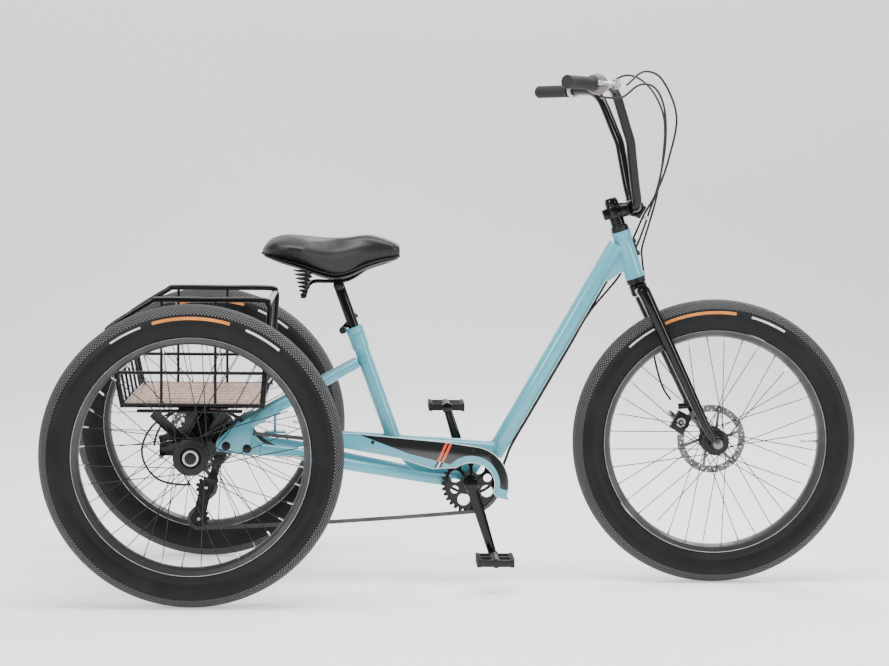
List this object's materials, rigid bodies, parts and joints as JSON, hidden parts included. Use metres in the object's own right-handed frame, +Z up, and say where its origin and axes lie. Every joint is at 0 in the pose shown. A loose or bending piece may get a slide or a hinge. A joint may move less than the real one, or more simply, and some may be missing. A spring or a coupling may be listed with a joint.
{
  "type": "adult tricycle",
  "caption": "Adult tricycle with a teal step-through frame, high-rise bar, sprung saddle, chain drive with derailleur, disc brakes and a wire cargo basket over the rear axle.",
  "frame": {"origin": "on the ground, midway between the front and rear axles and between the two rear wheels", "axes": "+X forwards, +Y to the rider's left, +Z up"},
  "size_m": [1.849, 0.794, 1.1825],
  "materials": {
    "frame_paint": "teal gloss enamel",
    "black_gloss": "black gloss powder coat",
    "black_plastic": "black moulded plastic",
    "black_anodised": "black anodised, satin",
    "bright_steel": "bright plated steel",
    "tyre_rubber": "matt black rubber, fine block tread",
    "rim_black": "black anodised with a machined line",
    "floor_wood": "thin reddish-brown board, sealed",
    "grip_rubber": "black textured rubber",
    "shifter_grey": "grey moulded plastic",
    "saddle_vinyl": "smooth black vinyl over foam"
  },
  "bodies": {
    "frame": {"main_frame": "frame_paint", "rear_stays": "frame_paint", "chain_guard": "frame_paint", "headset_upper_cup": "black_anodised", "headset_lower_cup": "black_anodised", "seat_collar": "black_anodised", "axle_carrier": "black_gloss", "basket_right_side": "black_gloss", "basket_left_side": "black_gloss", "basket_front": "black_gloss", "basket_rear": "black_gloss", "basket_floor": "floor_wood", "chain": "bright_steel", "derailleur_body": "black_anodised", "derailleur_cage": "black_anodised", "rear_caliper": "black_anodised", "cable_guide": "black_plastic", "rear_brake_cable": "black_plastic", "shift_cable": "black_plastic"},
    "steering": {"fork": "black_gloss", "front_axle": "bright_steel", "stem": "black_anodised", "handlebar": "black_gloss", "right_grip": "grip_rubber", "left_grip": "grip_rubber", "right_lever_mount": "black_anodised", "left_lever_mount": "black_anodised", "front_caliper": "black_anodised", "front_brake_cable": "black_plastic"},
    "front_wheel": {"front_tyre": "tyre_rubber", "front_rim": "rim_black", "front_hub": "black_anodised", "front_rotor": "bright_steel"},
    "right_wheel": {"right_tyre": "tyre_rubber", "right_rim": "rim_black", "right_hub": "black_anodised"},
    "left_wheel": {"left_tyre": "tyre_rubber", "left_rim": "rim_black", "left_hub": "black_anodised", "rear_axle": "bright_steel", "rear_rotor": "bright_steel"},
    "crank": {"crank_spindle": "bright_steel", "chainring": "black_anodised", "right_crank": "black_anodised", "left_crank": "black_anodised"},
    "right_pedal": {"right_pedal": "black_plastic"},
    "left_pedal": {"left_pedal": "black_plastic"},
    "freewheel": {"freewheel": "bright_steel"},
    "guide_pulley": {"guide_pulley": "black_plastic"},
    "tension_pulley": {"tension_pulley": "black_plastic"},
    "seatpost": {"seatpost": "black_anodised", "saddle": "saddle_vinyl", "right_saddle_spring": "bright_steel", "left_saddle_spring": "bright_steel"},
    "seat_clamp_lever": {"seat_clamp_lever": "black_anodised"},
    "right_brake_lever": {"right_brake_lever": "black_anodised"},
    "left_brake_lever": {"left_brake_lever": "black_anodised"},
    "front_caliper_arm": {"front_caliper_arm": "black_anodised"},
    "rear_caliper_arm": {"rear_caliper_arm": "black_anodised"},
    "twist_shifter": {"twist_shifter": "shifter_grey"}
  },
  "joints": [
    {"name": "steering", "type": "hinge", "parent": "frame", "child": "steering", "pos_m": [0.3875, 0, 0.761], "axis": [-0.3173, 0, 0.9483], "range_deg": [-45, 45], "deforming": ["rear_brake_cable", "shift_cable"]},
    {"name": "front_wheel_spin", "type": "hinge", "parent": "steering", "child": "front_wheel", "pos_m": [0.5945, 0, 0.33], "axis": [0, 1, 0], "continuous": true},
    {"name": "right_wheel_spin", "type": "hinge", "parent": "frame", "child": "right_wheel", "pos_m": [-0.5945, -0.35, 0.33], "axis": [0, 1, 0], "continuous": true},
    {"name": "left_wheel_spin", "type": "hinge", "parent": "frame", "child": "left_wheel", "pos_m": [-0.5945, 0.35, 0.33], "axis": [0, 1, 0], "continuous": true},
    {"name": "crank_spin", "type": "hinge", "parent": "frame", "child": "crank", "pos_m": [0.027, 0, 0.233], "axis": [0, 1, 0], "continuous": true},
    {"name": "right_pedal_spin", "type": "hinge", "parent": "crank", "child": "right_pedal", "pos_m": [0.0784, -0.142, 0.07096], "axis": [0, 1, 0], "continuous": true},
    {"name": "left_pedal_spin", "type": "hinge", "parent": "crank", "child": "left_pedal", "pos_m": [-0.0244, 0.142, 0.39504], "axis": [0, 1, 0], "continuous": true},
    {"name": "freewheel_spin", "type": "hinge", "parent": "frame", "child": "freewheel", "pos_m": [-0.5945, -0.05, 0.33], "axis": [0, 1, 0], "continuous": true},
    {"name": "guide_pulley_spin", "type": "hinge", "parent": "frame", "child": "guide_pulley", "pos_m": [-0.58, -0.05, 0.222], "axis": [0, 1, 0], "continuous": true},
    {"name": "tension_pulley_spin", "type": "hinge", "parent": "frame", "child": "tension_pulley", "pos_m": [-0.597, -0.05, 0.15], "axis": [0, 1, 0], "continuous": true},
    {"name": "seatpost_slide", "type": "slide", "parent": "frame", "child": "seatpost", "axis": [-0.343, 0, 0.9393], "range_m": [-0.06, 0.08]},
    {"name": "seat_clamp_lever", "type": "hinge", "parent": "frame", "child": "seat_clamp_lever", "pos_m": [-0.27092, 0, 0.58198], "axis": [0, 1, 0], "range_deg": [-95, 0]},
    {"name": "right_brake_lever", "type": "hinge", "parent": "steering", "child": "right_brake_lever", "pos_m": [0.32749, -0.24583, 1.145], "axis": [0, 0, 1], "range_deg": [0, 22], "stiffness_Nm_per_rad": 0.3},
    {"name": "left_brake_lever", "type": "hinge", "parent": "steering", "child": "left_brake_lever", "pos_m": [0.30921, 0.27568, 1.145], "axis": [0, 0, 1], "range_deg": [-22, 0], "stiffness_Nm_per_rad": 0.3},
    {"name": "rear_caliper_arm", "type": "hinge", "parent": "frame", "child": "rear_caliper_arm", "pos_m": [-0.66855, 0.0102, 0.3129], "axis": [0, 1, 0], "range_deg": [-15, 0]},
    {"name": "front_caliper_arm", "type": "hinge", "parent": "steering", "child": "front_caliper_arm", "pos_m": [0.5274, 0.0698, 0.36568], "axis": [0, 1, 0], "range_deg": [0, 15]},
    {"name": "twist_shifter", "type": "hinge", "parent": "steering", "child": "twist_shifter", "pos_m": [0.28948, -0.23897, 1.145], "axis": [-0.5223, -0.8528, 0], "range_deg": [-70, 70]}
  ],
  "couplings": [
    {"joint": "freewheel_spin", "follows": "crank_spin", "ratio": 2.2857},
    {"joint": "guide_pulley_spin", "follows": "crank_spin", "ratio": -2.9091},
    {"joint": "tension_pulley_spin", "follows": "crank_spin", "ratio": 2.9091},
    {"joint": "rear_caliper_arm", "follows": "right_brake_lever", "ratio": -0.6818},
    {"joint": "front_caliper_arm", "follows": "left_brake_lever", "ratio": -0.6818}
  ]
}
